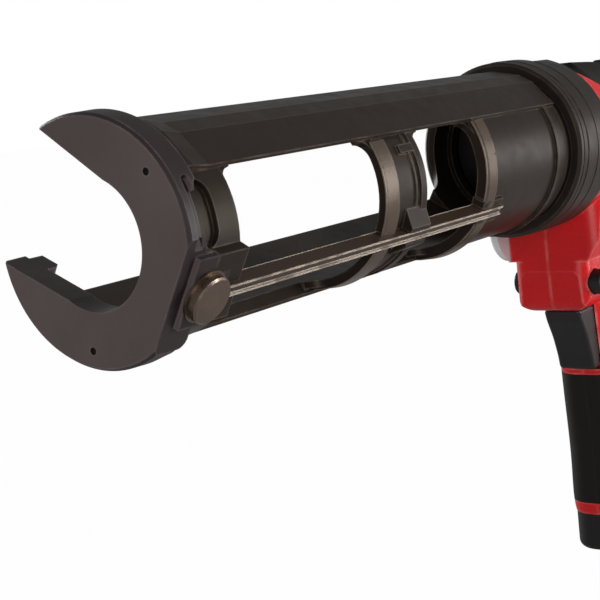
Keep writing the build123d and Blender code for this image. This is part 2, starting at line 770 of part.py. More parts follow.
def make_plunger_disc():
    rear = plunger_x + plunger_t
    disc = rod_x(plunger_r, plunger_x, rear)
    disc = fillet(disc.edges().group_by(Axis.X)[0], 1.6)
    disc -= tube_x(plunger_r + 1, plunger_r - 1.8, rear - 5.2, rear - 2.2)
    disc -= tube_x(plunger_r - 5, 9.0, rear - 3.4, rear + 1)
    half = rod_w / 2 + seat_gap
    low = rack_root_z - seat_gap
    disc -= block(rod_front_x, rear + 1, -half, half, low, rod_top + seat_gap)
    disc -= rod_x(2.2, plunger_x - 1, rod_front_x + 1)
    head = Pos(plunger_x + 1.0, 0, 0) * Rot(0, -90, 0) * Cone(2.2, 4.2, 2.0)
    return disc - head


def make_plunger_seal():
    rear = plunger_x + plunger_t
    gap = seat_gap
    return tube_x(seal_r, plunger_r - 1.8 + gap, rear - 5.2 + gap, rear - 2.2 - gap)


def make_plunger_screw():
    head = Pos(plunger_x + 1.1, 0, 0) * Rot(0, -90, 0) * Cone(2.0, 4.0, 1.8)
    screw = head + rod_x(2.0, plunger_x + 1.5, rod_front_x + 12)
    slot = block(plunger_x - 1, plunger_x + 1.0, -2.6, 2.6, -0.4, 0.4)
    cross = block(plunger_x - 1, plunger_x + 1.0, -0.4, 0.4, -2.6, 2.6)
    return screw - slot - cross


def loop_centre_x():
    return rod_rear_x + loop_shank_l + loop_r


def make_pull_loop():
    shank = rod_x(loop_shank_r, rod_rear_x, rod_rear_x + loop_shank_l)
    shank = fillet(shank.edges().group_by(Axis.X)[0], 1.2)
    ring = Pos(loop_centre_x(), 0, 0) * Rot(90, 0, 0) * Torus(loop_r, loop_wire_r)
    loop = shank + ring
    half = rod_w / 2 + seat_gap
    low = rack_root_z - seat_gap
    end = rod_rear_x + 8 + seat_gap
    loop -= block(rod_rear_x - 1, end, -half, half, low, rod_top + seat_gap)
    loop -= rod_y(loop_pin_r, -10, 10, rod_rear_x + 4)
    return loop


def make_loop_pin():
    return rod_y(loop_pin_r - 0.02, -loop_shank_r + 1.6, loop_shank_r - 1.6, rod_rear_x + 4)


def guide_hole(x0, x1):
    y0, y1, z0, z1 = rod_outline(slide_gap)
    return block(x0 - 1, x1 + 1, y0, y1, z0, z1)


def make_rod_guide_front():
    x0, x1 = pocket_rear_x - 1.6, clamp_x[1] - 1.0
    bush = rod_x(guide_r - seat_gap, x0 + 1.0, x1)
    bush += rod_x(guide_r + 3.0, x0, x0 + 1.5)
    return bush - guide_hole(x0, x1)


def make_rod_guide_rear():
    x0, x1 = guide_rear_x
    half, z0, z1 = guide_rear_box
    bush = block(x0, x1, -half, half, z0, z1)
    bush = fillet(bush.edges().filter_by(Axis.X), 2.0)
    return bush - guide_hole(x0, x1)


# ================================================================ drive
pinion_r = rack_module * pinion_teeth / 2
pinion_z = rack_pitch_z - pinion_r
cross_z = pinion_z - spur_module * sum(spur_teeth) / 2
bearing_r_in = shaft_r + run_fit


def make_rack_pinion():
    y0, y1 = pinion_y - pinion_w / 2, pinion_y + pinion_w / 2
    gear = spur_y_axis(pinion_teeth, rack_module, y0, y1, pinion_x, pinion_z, 90.0)
    shaft = rod_y(shaft_r, -bearing_y[1], bearing_y[1], pinion_x, pinion_z)
    return gear + shaft


def make_pinion_gear():
    space_down = 270.0 + 180.0 / spur_teeth[0]
    y0, y1 = spur_y
    gear = spur_y_axis(spur_teeth[0], spur_module, y0, y1, pinion_x, pinion_z, space_down)
    gear -= rod_y(shaft_r, y0 - 1, y1 + 1, pinion_x, pinion_z)
    web = tube_y(11.0, 5.4, y1 - 1.4, y1 + 1, pinion_x, pinion_z)
    return gear - web


def make_cross_shaft():
    y0, y1 = spur_y
    gear = spur_y_axis(spur_teeth[1], spur_module, y0, y1, pinion_x, cross_z, 90.0)
    shaft = rod_y(shaft_r, -bearing_y[1], bearing_y[1], pinion_x, cross_z)
    return gear + shaft


def make_bevel_gear():
    gear = bevel_gear(*bevel_teeth, bevel_module, bevel_face, 2.6, "y", 0.0)
    gear = gear.mirror(Plane.XZ)
    gear -= rod_y(shaft_r, -20, 1, 0, 0)
    return Pos(pinion_x, 0, cross_z) * gear


def sun_centres():
    spread = planet_module * (sun_teeth + planet_teeth) / 2
    middles = [90 + 360 / planet_count * i for i in range(planet_count)]
    return [(spread * cos(radians(d)), spread * sin(radians(d)), d) for d in middles]


planet_x = (gearbox_x[0] + 7.0, gearbox_x[0] + 11.6)
carrier_x = (gearbox_x[0] + 3.2, gearbox_x[0] + 6.6)


def make_gearbox_output():
    half_pitch = 180.0 / bevel_teeth[1]
    pinion = bevel_gear(bevel_teeth[1], bevel_teeth[0], bevel_module, bevel_face, 1.2, "x", half_pitch)
    out = Pos(pinion_x, 0, cross_z) * pinion
    front = pinion_x + bevel_module * bevel_teeth[0] / 2
    out += rod_x(shaft_r, front, carrier_x[1], 0, cross_z)
    out += rod_x(9.4, *carrier_x, 0, cross_z)
    for y, z, _ in sun_centres():
        out += rod_x(1.5, carrier_x[0], planet_x[1], y, cross_z + z)
    return out


def make_planet_gears():
    gears = []
    for y, z, deg in sun_centres():
        outline = gear_outline(planet_teeth, planet_module, deg, thin=0.12)
        placed = [(y + a, cross_z + z + b) for a, b in outline]
        gear = prism_x(placed, *planet_x)
        hole = rod_x(1.5 + run_fit, planet_x[0] - 1, planet_x[1] + 1, y, cross_z + z)
        gears.append(gear - hole)
    return gears


def make_ring_gear():
    outline = gear_outline(ring_teeth, planet_module, 90.0, thin=-0.12, add=1.3, ded=1.0)
    placed = [(a, cross_z + b) for a, b in outline]
    ring = rod_x(gearbox_r - 1.2, *planet_x, 0, cross_z)
    return ring - prism_x(placed, planet_x[0] - 1, planet_x[1] + 1)


def make_gearbox_can():
    x0, x1 = gearbox_x
    can = rod_x(gearbox_r, x0, x1, 0, cross_z)
    can = chamfer(can.edges().group_by(Axis.X)[0], 1.0)
    can -= rod_x(gearbox_r - 1.2, x0 + 1.8, x1 + 1, 0, cross_z)
    return can - rod_x(shaft_r + 2.6, x0 - 1, x0 + 2, 0, cross_z)


def make_output_bearing():
    return tube_x(shaft_r + 2.6, bearing_r_in, gearbox_x[0], gearbox_x[0] + 2.4, 0, cross_z)


def make_motor_can():
    x0, x1 = motor_x
    can = rod_x(motor_r, x0, x1, 0, cross_z)
    can = fillet(can.edges().group_by(Axis.X)[-1], 1.5)
    can -= rod_x(motor_r - 1.2, x0 + 1.4, x1 - 1.4, 0, cross_z)
    can -= rod_x(motor_shaft_r + run_fit, x0 - 1, x1 + 1, 0, cross_z)
    for deg in range(0, 360, 60):
        y, z = 9.0 * cos(radians(deg)), 9.0 * sin(radians(deg))
        can -= rod_x(2.0, x1 - 3, x1 + 1, y, cross_z + z)
    return can


def make_motor_magnets():
    x0, x1 = motor_x[0] + 6, motor_x[1] - 6
    inside = motor_r - 1.2
    magnets = []
    for deg in (0, 180):
        arc = sector_x(inside - 2.0, inside - 0.02, x0, x1, deg, 130)
        magnets.append(Pos(0, 0, cross_z) * arc)
    return magnets


def make_motor_rotor():
    x0, x1 = motor_x
    shaft = rod_x(motor_shaft_r, planet_x[0] + 0.4, x1 + 1.5, 0, cross_z)
    outline = gear_outline(sun_teeth, planet_module, 90.0, thin=0.12)
    placed = [(a, cross_z + b) for a, b in outline]
    rotor = shaft + prism_x(placed, planet_x[0] + 0.4, planet_x[1])
    core = rod_x(motor_r - 3.8, x0 + 7, x1 - 9, 0, cross_z)
    slots = []
    for deg in range(0, 360, 72):
        y, z = 7.6 * cos(radians(deg)), 7.6 * sin(radians(deg))
        slots.append(rod_x(1.8, x0, x1, y, cross_z + z))
    rotor += core - slots
    return rotor + rod_x(4.2, x1 - 8.5, x1 - 3, 0, cross_z)


def bearing_ring(x, z, side):
    y0, y1 = bearing_y
    if side < 0:
        y0, y1 = -y1, -y0
    return tube_y(bearing_r, bearing_r_in, y0, y1, x, z)


def make_bearings(z):
    return [bearing_ring(pinion_x, z, side) for side in (-1, 1)]


case_x = (29.6, 65.0)
case_top = 12.0
case_floor = cross_z - 16.2
case_outside = ((18.2, case_top), (18.2, case_floor + 10.5), (11.2, case_floor))
case_inside = ((14.2, case_top + 1), (14.2, case_floor + 10.9), (9.6, case_floor + 2.4))
case_wall = 2.4
lug_spot = (31.0, -33.0)
lug_r = 14.6
lug_y = (16.5, 20.6)


def case_lug(grow=0.0):
    """Cast foot of the gear case that shows under the nose on the right."""
    x, z = lug_spot
    r = lug_r + grow
    lug = rod_y(r, lug_y[0] - grow, lug_y[1] + grow, x, z)
    if not grow:
        lug = fillet(lug.edges().group_by(Axis.Y)[-1], 2.4)
    lug &= block(x - r - 1, case_x[0] + 1, 0, 40, z - r - 1, z + 9)
    return lug - rod_x(nose_r + 0.5, joint_x, nose_rear_x + 0.5)


def case_section(half):
    return list(half) + [(-y, z) for y, z in reversed(half)]


def make_gear_case():
    x0, x1 = case_x
    case = prism_x(case_section(case_outside), x0, x1)
    top_edges = case.edges().filter_by(Axis.X).group_by(Axis.Z)[-1]
    case = fillet(top_edges, 4.0) + case_lug()
    case -= prism_x(case_section(case_inside), x0 + case_wall, x1 + 1)
    case -= block(x0 - 1, x0 + case_wall + 1, -8, 8, -11, case_top + 1)
    for z in (pinion_z, cross_z):
        case -= rod_y(bearing_r, -bearing_y[1], bearing_y[1], pinion_x, z)
    return case


# ================================================================ housing
def side_face(inset):
    face = face_on(plane_xz(0), [(x, z) for x, z, _ in side_profile])
    face = rounded(face, [(Vector(x, 0, z), r) for x, z, r in side_profile])
    return offset(face, -inset) if inset else face


def end_face(inset):
    right = [(y, z) for y, z, _ in end_profile]
    left = [(-y, z) for y, z in reversed(right)]
    corners = [(Vector(0, y, z), r) for y, z, r in end_profile]
    corners += [(Vector(0, -y, z), r) for y, z, r in end_profile]
    face = rounded(face_on(plane_yz(0), right + left), corners)
    return offset(face, -inset) if inset else face


def grip_outline(z, front, rear, half):
    """Plan of the grip: narrow in front, its full width behind, corners rounded."""
    nose, side = grip_front_w * half, rear - grip_side_l
    right = [(front, nose), (side, half), (rear, half)]
    left = [(x, -y) for x, y in reversed(right)]
    radii = list(grip_radii) + list(reversed(grip_radii))
    corners = [(Vector(x, y, z), r) for (x, y), r in zip(right + left, radii)]
    return rounded(face_on(Plane.XY.offset(z), right + left), corners)


def grip_solid(inset):
    faces = []
    for section in grip_sections:
        face = grip_outline(*section)
        faces.append(offset(face, -inset) if inset else face)
    return loft(faces)


def shoulder_solid(inset):
    x0 = shoulder[0][0] + inset
    rim = [(x0, 0), (x0, shoulder[0][1] - inset)]
    rim += [(x, r - inset) for x, r in shoulder[1:]]
    rim += [(shoulder[-1][0], 0)]
    return revolve(face_on(plane_xz(0), rim), Axis.X, 360)


def plan_block(half, r, z0, z1, inset):
    box = block(front_x + inset, 200, inset - half, half - inset, z0, z1)
    front = box.edges().filter_by(Axis.Z).group_by(Axis.X)[0]
    return fillet(front, r - inset)


def body_solid(inset):
    side = extrude(side_face(inset), 40, both=True)
    section = side & extrude(end_face(inset), 200, dir=(1, 0, 0))
    wide_r, keel_r = front_corner_r
    wide = section & plan_block(end_profile[0][0], wide_r, keel_z, 60, inset)
    keel = section & plan_block(end_profile[-1][0], keel_r, -100, keel_z + 6, inset)
    return wide + keel + (shoulder_solid(inset) & side) + grip_solid(inset)


def tower_solid(grow, z0, z1):
    triangle = face_on(Plane.XY.offset(z0), cell_spots)
    outline = offset(triangle, cell_r + cell_space + battery_wall + grow)
    return extrude(outline, z1 - z0, dir=(0, 0, 1))


def rubber_region(outline):
    return prism_y(outline, -60, 60)


def release_shape(grow, z0, z1):
    half = release_w / 2 + grow
    box = block(release_x[0] - grow, release_x[1] + grow, -half, half, z0, z1)
    return fillet(box.edges().filter_by(Axis.Z), 3.0)


def housing_ribs():
    ribs = block(rib_x[0], rib_x[0] + rib_t, -30, 30, -62, 9)
    for x in rib_x[1:]:
        ribs += block(x, x + rib_t, -30, 30, -62, 9)
    ribs -= rod_x(motor_r + seat_gap, 60, 120, 0, cross_z)
    y0, y1, z0, z1 = rod_outline(3.0)
    ribs -= block(20, 130, y0, y1, z0, z1)
    return ribs + block(rib_x[1], rib_x[3] + rib_t, -8.5, 8.5, 7.4, 9.4)


def make_housing():
    whole = body_solid(0.0)
    hollow = body_solid(shell_t) & block(0, 140, -40, 40, battery_top - battery_gap, 40)
    inside = body_solid(shell_t / 2) & block(0, 140, -40, 40, -90, 40)
    shell = whole - hollow
    shell -= tower_solid(battery_gap, grip_bottom - 1, battery_top + battery_gap)
    shell += housing_ribs() & inside
    for x, z in screw_spots:
        shell += rod_y(boss_r, -30, 30, x, z) & whole
    cover = whole - body_solid(rubber_t)
    covers = [cover & rubber_region(top_rubber), cover & rubber_region(grip_rubber)]
    shell -= covers
    tip, seat, _ = screw_y
    for x, z in screw_spots:
        shell -= rod_y(screw_r, tip - 0.3, seat + 1, x, z)
        sink = rod_y(screw_head_r + seat_gap, seat, 40, x, z)
        shell -= sink
        covers = [piece - sink - rod_y(screw_r, tip, seat + 1, x, z) for piece in covers]
    shell -= rod_x(spigot_r + seat_gap, 0, clamp_x[0] + 1)
    shell -= rod_x(clamp_r + seat_gap, clamp_x[0] - seat_gap, case_x[0])
    shell -= case_lug(0.3)
    half, z0, z1 = guide_rear_box
    shell -= block(guide_rear_x[0] - 1, guide_rear_x[1] + seat_gap, -half, half, z0, z1)
    y0, y1, z0, z1 = rod_outline(0.8)
    shell -= block(120, 140, y0, y1, z0, z1)
    x0, x1, half, z0, _ = board
    shell -= block(x0 - 0.3, x1 + 0.3, -half - 0.3, half + 0.3, z0 - 0.3, z0 + 6.6)
    shell -= trigger_opening()
    shell -= rod_y(lock_r + slide_gap, -40, 40, lock_x, lock_z)
    shell -= release_shape(slide_gap, 10, 40)
    shell -= rod_y(dial_r + 1.0, dial_y[0] - 0.5, dial_y[1] + 0.5, dial_x, dial_z)
    shell -= rod_y(dial_axle_r + run_fit, dial_y[0] - 3, dial_y[1] + 2, dial_x, dial_z)
    width, z0, z1 = vent_size
    for x in vents:
        shell -= block(x, x + width, -40, 40, z0, z1)
    for side in (1, -1):
        shell -= latch_channel(side)
    top_cover = covers[0] - release_shape(slide_gap, 10, 40)
    return shell, top_cover, covers[1]


def dial_bearing():
    x, z = dial_x, dial_z
    outer = rod_y(dial_axle_r + 2.0, -24, dial_y[0] - 0.6, x, z)
    return outer - rod_y(dial_axle_r + run_fit, dial_y[0] - 3, dial_y[0] + 1, x, z)


def half_of(shape, side):
    return shape & (block(-10, 160, 0, 60, -220, 60) if side > 0 else
                    block(-10, 160, -60, 0, -220, 60))


def make_housing_screw(x, z):
    tip, seat, top = screw_y
    head = rod_y(screw_head_r, seat, top, x, z)
    head = fillet(head.edges().group_by(Axis.Y)[-1], 0.5)
    screw = head + rod_y(screw_r - 0.02, tip, seat, x, z)
    star = Pos(x, top, z) * Rot(90, 0, 0) * RegularPolygon(1.5, 6)
    return screw - extrude(star, 1.4, both=True)


def make_housing_screws():
    return [make_housing_screw(x, z) for x, z in screw_spots]


# ================================================================ controls
def trigger_opening():
    half = trigger_w / 2 + slide_gap
    x0, x1, z0, z1 = trigger_opening_box
    return block(x0, x1, -half, half, z0, z1)


def make_trigger():
    half = trigger_w / 2
    face = face_on(plane_xz(-half), trigger_outline)
    spots = [Vector(x, -half, z) for x, z in trigger_outline]
    radii = [(spots[0], 1.0), (spots[1], 10.0), (spots[2], 30.0), (spots[3], 20.0), (spots[4], 2.0)]
    shoe = extrude(rounded(face, radii), trigger_w, dir=(0, 1, 0))
    front = shoe.edges().filter_by(lambda e: e.center().X < 47 and abs(abs(e.center().Y) - half) < 0.01)
    shoe = fillet(front, 1.6)
    end, width, z0, z1 = trigger_stem
    stem = block(46.0, end, -width / 2, width / 2, z0, z1)
    return shoe + stem


def coil(r, wire, length, turns):
    """Open coil spring standing on the XY plane."""
    path = Helix(length / turns, length, r)
    start = path @ 0
    section = Plane(origin=start, z_dir=path % 0) * Circle(wire)
    return sweep(section, path)


trigger_spring_x = (50.3, 62.0)
trigger_spring_z = -82.3


def make_trigger_spring():
    x0, x1 = trigger_spring_x
    return Pos(x0, 0, trigger_spring_z) * Rot(0, 90, 0) * coil(2.4, 0.3, x1 - x0, 6)


def make_switch_module():
    x0, x1, half, z0, z1 = switch_box
    box = block(x0, x1, -half, half, z0, z1)
    box = fillet(box.edges().filter_by(Axis.Y), 1.0)
    end, width, s0, s1 = trigger_stem
    w = width / 2 + slide_gap
    reach = end + trigger_travel + slide_gap
    box -= block(x0 - 1, max(reach, x0 + 1), -w, w, s0 - slide_gap, s1 + slide_gap)
    for y in (-6.0, 0.0, 6.0):
        box += block(x1 - 0.5, x1 + 3.0, y - 1.4, y + 1.4, z1 - 6.0, z1 - 5.2)
    return box


def make_lock_button():
    pin = rod_y(lock_r, *lock_y, lock_x, lock_z)
    ends = pin.edges().filter_by(GeomType.CIRCLE)
    pin = fillet(ends, 0.8)
    waist = tube_y(lock_r + 1, lock_r - 1.6, -4.0, 4.0, lock_x, lock_z)
    return pin - waist


def make_release_button():
    foot, top = release_z
    x0, x1 = release_x
    half = release_w / 2
    button = release_shape(0.0, foot + 0.8, top)
    button = fillet(button.edges().group_by(Axis.Z)[-1], 1.2)
    button += block(x0 - 1.6, x1 + 1.6, -half, half, foot, foot + 2.0)
    button -= rod_z(3.6, 10, foot + 6.5, (x0 + x1) / 2)
    for i in range(5):
        x = x0 + 3 + i * (x1 - x0 - 6) / 4
        button -= block(x - 0.5, x + 0.5, -20, 20, top - 0.6, top + 1)
    return button


def make_release_spring():
    x = sum(release_x) / 2
    return Pos(x, 0, 9.8) * coil(2.6, 0.35, release_z[0] - 3.8, 7)


def make_speed_dial():
    y0, y1 = dial_y
    wheel = rod_y(dial_r, y0, y1, dial_x, dial_z)
    wheel = fillet(wheel.edges().filter_by(GeomType.CIRCLE), 0.8)
    for i in range(36):
        a = radians(10 * i)
        x, z = dial_x + dial_r * cos(a), dial_z + dial_r * sin(a)
        wheel -= rod_y(0.45, y0 - 1, y0 + 2.6, x, z)
    return wheel + rod_y(dial_axle_r, y0 - 2.8, y1 + 1.8, dial_x, dial_z)


def make_control_board():
    x0, x1, half, z0, z1 = board
    card = block(x0, x1, -half, half, z0, z1)
    card += block(x0 + 5, x0 + 17, -9, 3, z1 - 0.2, z1 + 1.6)
    card += block(x0 + 22, x0 + 30, -10, -2, z1 - 0.2, z1 + 1.2)
    card += block(x0 + 6, x0 + 14, 5.0, 10.5, z1 - 0.2, z1 + 2.6)
    return card + rod_z(3.0, z1 - 0.2, z1 + 4.4, x1 - 4.5, 7.5)


def make_terminal_block():
    base = block(63.0, 84.0, -10.8, 10.8, head_top + battery_gap, switch_box[3] - 0.2)
    x0, x1 = contact_x
    for y in (-6.0, 0.0, 6.0):
        base += block(x0 + 1.5, x1 - 1.5, y - 0.4, y + 0.4, head_top - 5.0, head_top + 1)
    return base


# ================================================================ battery
def make_battery_case():
    case = tower_solid(0.0, base_top - 3.4, battery_top)
    top_edges = case.edges().group_by(Axis.Z)[-1]
    case = fillet(top_edges, 1.0)
    case += block(*head_x, -head_half_w, head_half_w, battery_top - 1, head_top)
    case -= tower_solid(-battery_wall, base_top - 5, battery_top - 1.4)
    for y in (-6.0, 0.0, 6.0):
        case -= block(*contact_x, y - 0.9, y + 0.9, head_top - 6.0, head_top + 1)
    return case


def make_battery_cells():
    top = battery_top - 1.5
    cells = []
    for x, y in cell_spots:
        cell = rod_z(cell_r, top - cell_l, top, x, y)
        groove_cut = rod_z(cell_r + 1, top - 4.2, top - 3.6, x, y) - rod_z(cell_r - 0.4, -200, 0, x, y)
        cells.append(cell - groove_cut)
    return cells


def make_battery_base():
    base = extrude(grip_outline(base_bottom, *base_plan), base_h, dir=(0, 0, 1))
    base = fillet(base.edges().group_by(Axis.Z)[0], 3.5)
    base -= tower_solid(seat_gap, base_top - 4.0, base_top + 1)
    for side in (1, -1):
        base -= latch_pocket(side)
    return base


def side_block(x0, x1, y0, y1, z0, z1, side):
    if side < 0:
        y0, y1 = -y1, -y0
    return block(x0, x1, y0, y1, z0, z1)


def latch_pocket(side):
    gap = slide_gap
    y_in = latch_y[0] - latch_travel - gap - 3.0
    x0, x1 = latch_x
    pocket = side_block(x0 - gap, x1 + gap, y_in, 40, latch_z[0] - gap, latch_z[1] + gap, side)
    a0, a1, b0, b1, _ = latch_arm
    low = b0 - latch_travel - gap
    high = b1 + 0.5 + gap
    return pocket + side_block(a0 - gap, a1 + gap, low, high, latch_z[0], base_top + 1, side)


def latch_channel(side):
    """Way for the latch's arm inside the bottom of the grip."""
    a0, a1, b0, b1, top = latch_arm
    gap = slide_gap
    low = b0 - latch_travel - gap
    return side_block(a0 - gap, a1 + gap, low - 3, b1 + 1.2, grip_bottom - 1, top + 0.6, side)


def make_latch(side):
    x0, x1 = latch_x
    y0, y1 = latch_y
    plate = side_block(x0, x1, y0, y1, *latch_z, side)
    face = plate.edges().group_by(Axis.Y)[-1 if side > 0 else 0]
    plate = fillet(face, 1.0)
    a0, a1, b0, b1, top = latch_arm
    plate += side_block(a0, a1, b0, b1 + 0.5, latch_z[1] - 3.4, top, side)
    plate += side_block(a0, a1, b1 - 0.5, b1 + 0.8, top - 2.0, top, side)
    for i in range(3):
        z = latch_z[0] + 2.0 + i * 2.1
        plate -= side_block(x0 + 2, x1 - 2, y1 - 0.5, y1 + 1, z - 0.4, z + 0.4, side)
    return plate


latch_spring_y = (latch_y[0] - latch_travel - slide_gap - 2.65, latch_y[0] - 0.4)
latch_spring_z = (latch_z[0] + latch_z[1]) / 2


def make_latch_spring(side):
    y0, y1 = latch_spring_y
    spring = coil(2.0, 0.25, y1 - y0, 5)
    turned = Rot(-90, 0, 0) * spring if side > 0 else Rot(90, 0, 0) * spring
    return Pos((latch_x[0] + latch_x[1]) / 2, side * y0, latch_spring_z) * turned


# ================================================================ assembly
def turned(shape):
    return Rot(carriage_tilt, 0, 0) * shape


shell, top_cover, grip_cover = make_housing()
shell += dial_bearing()

nodes = {
    "carriage_frame": turned(make_carriage_frame()),
    "front_yoke": turned(make_front_yoke()),
    "yoke_pins": [turned(pin) for pin in make_yoke_pins()],
    "spine_rail": turned(make_spine_rail()),
    "spine_rivet": turned(make_spine_rivet()),
    "coupling_collar": make_coupling_collar(),
    "nose_housing": make_nose_housing(),
    "push_rod": make_push_rod(),
    "plunger_disc": make_plunger_disc(),
    "plunger_seal": make_plunger_seal(),
    "plunger_screw": make_plunger_screw(),
    "pull_loop": make_pull_loop(),
    "loop_pin": make_loop_pin(),
    "rod_guide_front": make_rod_guide_front(),
    "rod_guide_rear": make_rod_guide_rear(),
    "rack_pinion": make_rack_pinion(),
    "pinion_gear": make_pinion_gear(),
    "pinion_bearings": make_bearings(pinion_z),
    "cross_shaft": make_cross_shaft(),
    "bevel_gear": make_bevel_gear(),
    "cross_bearings": make_bearings(cross_z),
    "gearbox_output": make_gearbox_output(),
    "output_bearing": make_output_bearing(),
    "ring_gear": make_ring_gear(),
    "gearbox_can": make_gearbox_can(),
    "motor_rotor": make_motor_rotor(),
    "motor_can": make_motor_can(),
    "motor_magnets": make_motor_magnets(),
    "gear_case": make_gear_case(),
    "housing_left": half_of(shell, -1),
    "housing_right": half_of(shell, 1),
    "top_cover": top_cover,
    "grip_left": half_of(grip_cover, -1),
    "grip_right": half_of(grip_cover, 1),
    "housing_screws": make_housing_screws(),
    "trigger": make_trigger(),
    "trigger_spring": make_trigger_spring(),
    "switch_module": make_switch_module(),
    "lock_button": make_lock_button(),
    "release_button": make_release_button(),
    "release_spring": make_release_spring(),
    "speed_dial": make_speed_dial(),
    "control_board": make_control_board(),
    "terminal_block": make_terminal_block(),
    "battery_case": make_battery_case(),
    "battery_base": make_battery_base(),
    "battery_cells": make_battery_cells(),
    "latch_left": make_latch(-1),
    "latch_right": make_latch(1),
    "latch_spring_left": make_latch_spring(-1),
    "latch_spring_right": make_latch_spring(1),
}

for i, planet in enumerate(make_planet_gears()):
    nodes["planet_gear_" + str(i + 1)] = planet

for name, shape in nodes.items():
    pieces = shape if isinstance(shape, list) else [shape]
    solids = [solid for piece in pieces for solid in parts_of(piece)]
    export_step(Compound(solids), "parts/" + name + ".step")
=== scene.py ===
# %% [markdown]
# # Dressing a cordless caulking gun
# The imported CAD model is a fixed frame: every solid is already in its place, in metres.
# This lesson gives each solid the finish of its real material, and adds two rings of
# small trim that are easier to shape here than in CAD. A pale floor, soft light and a
# camera follow.

# %% Load the frame
import math

import bmesh
import bpy
from mathutils import Matrix, Vector


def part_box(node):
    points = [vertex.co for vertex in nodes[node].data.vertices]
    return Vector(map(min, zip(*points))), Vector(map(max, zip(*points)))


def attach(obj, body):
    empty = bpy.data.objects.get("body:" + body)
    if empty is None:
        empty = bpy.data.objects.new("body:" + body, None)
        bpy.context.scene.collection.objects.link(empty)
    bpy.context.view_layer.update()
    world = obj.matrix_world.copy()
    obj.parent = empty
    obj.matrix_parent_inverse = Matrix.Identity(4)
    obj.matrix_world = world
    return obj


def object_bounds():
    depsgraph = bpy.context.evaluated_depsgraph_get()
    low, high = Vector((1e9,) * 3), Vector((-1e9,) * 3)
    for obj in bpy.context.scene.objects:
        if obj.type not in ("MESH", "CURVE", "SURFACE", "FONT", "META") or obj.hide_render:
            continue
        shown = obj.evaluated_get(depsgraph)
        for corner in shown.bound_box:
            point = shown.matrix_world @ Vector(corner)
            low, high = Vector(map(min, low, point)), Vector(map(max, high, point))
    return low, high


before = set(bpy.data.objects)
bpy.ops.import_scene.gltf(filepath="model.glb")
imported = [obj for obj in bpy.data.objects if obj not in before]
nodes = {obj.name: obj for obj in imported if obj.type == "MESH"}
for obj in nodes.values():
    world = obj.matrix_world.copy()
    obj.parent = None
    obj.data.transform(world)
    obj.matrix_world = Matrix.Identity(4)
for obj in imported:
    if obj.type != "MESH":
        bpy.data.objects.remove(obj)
cad_low, cad_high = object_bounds()
scene = bpy.context.scene
mm = 0.001
print("CAD box in mm:", [round(v / mm, 1) for v in (*cad_low, *cad_high)])

# %% [markdown]
# ## Colours
# Shaders work in linear light, while a colour is easiest to pick as an sRGB hex value.
# One function turns the one into the other, so every colour below can be read with any
# colour picker.

# %% Colour helper
def colour(code):
    """An sRGB hex value such as "#a0141c" as linear red, green, blue and alpha."""
    out = []
    for at in (1, 3, 5):
        part = int(code[at:at + 2], 16) / 255
        out.append(part / 12.92 if part <= 0.04045 else ((part + 0.055) / 1.055) ** 2.4)
    return (*out, 1.0)


print("middle grey in linear light:", [round(v, 3) for v in colour("#808080")])

# %% [markdown]
# ## Nodes
# A finish is a small network of nodes. Setting each one up takes several lines, so one
# helper adds a node with its settings and its links, and another starts an empty
# material. Noise is scaled in repeats per metre, so a third turns the real size of a
# feature into that scale.

# %% Node helpers
def add(tree, kind, inputs=(), **settings):
    """Adds a node. inputs maps a socket's name or number to a value or a socket."""
    node = tree.nodes.new("ShaderNode" + kind)
    for name, value in settings.items():
        setattr(node, name, value)
    for key, value in dict(inputs).items():
        if isinstance(value, bpy.types.NodeSocket):
            tree.links.new(value, node.inputs[key])
        else:
            node.inputs[key].default_value = value
    return node


def new_finish(name):
    """A material with an empty node tree."""
    material = bpy.data.materials.new(name)
    material.use_nodes = True
    material.node_tree.nodes.clear()
    return material, material.node_tree


def per_metre(size_mm):
    """The scale of a pattern whose features are about size_mm across."""
    return 1000.0 / size_mm


print("a grain of 0.5 mm has a scale of", per_metre(0.5))

# %% [markdown]
# ## Paler edges, from use and from painted highlights
# Hands, benches and cartridges rub a coat or a moulded surface where it stands proud,
# and such an edge turns a little paler. On the carriage frame, the spine and the red
# shells the same paler edge is a painted highlight, for the light that a ridge catches.
# A mesh could carry such marks as painted vertices, but CAD faces are too large for that.
# The Bevel node finds edges instead: it gives the normal that a rounded edge would have,
# and where this leaves the true normal, an edge is near. A noise breaks the line up,
# because no edge wears evenly.

# %% Where an edge turns paler
cosine_flat = 0.998         # between the two normals, where a surface still counts as flat
cosine_edge = 0.965         # and where it is a full edge
least_wear_and_highlight = 0.3            # along the parts of an edge that are rubbed least
wear_and_highlight_start, wear_and_highlight_full = 0.40, 0.62     # heights of the noise between which wear sets in


def wear_and_highlight_edges(tree, edge_mm, smear, wear_and_highlight):
    """A mask that is high in patches along the edges, in a band about edge_mm wide."""
    rounded = add(tree, "Bevel", {"Radius": edge_mm * mm}, samples=4).outputs[0]
    true = add(tree, "NewGeometry").outputs["Normal"]
    same = add(tree, "VectorMath", {0: rounded, 1: true}, operation="DOT_PRODUCT").outputs["Value"]
    limits = {"From Min": cosine_flat, "From Max": cosine_edge}
    edge = add(tree, "MapRange", {"Value": same, **limits}).outputs[0]
    limits = {"From Min": wear_and_highlight_start, "From Max": wear_and_highlight_full, "To Min": least_wear_and_highlight}
    patch = add(tree, "MapRange", {"Value": smear, **limits}).outputs[0]
    edge_wear_and_highlight = add(tree, "Math", {0: edge, 1: patch}, operation="MULTIPLY").outputs[0]
    return add(tree, "Math", {0: edge_wear_and_highlight, 1: wear_and_highlight}, operation="MULTIPLY", use_clamp=True).outputs[0]


print("an edge shows from a turn of", round(2 * math.degrees(math.acos(cosine_flat)), 1), "degrees")

# %% [markdown]
# ## Even colour that isn't quite even
# Most of this tool is cast and coated, or moulded. Its colour drifts over centimetres
# and its gloss over millimetres. A single colour would look like a computer's, and a
# picture laid over the part would show seams, so the drift is noise that fills space.

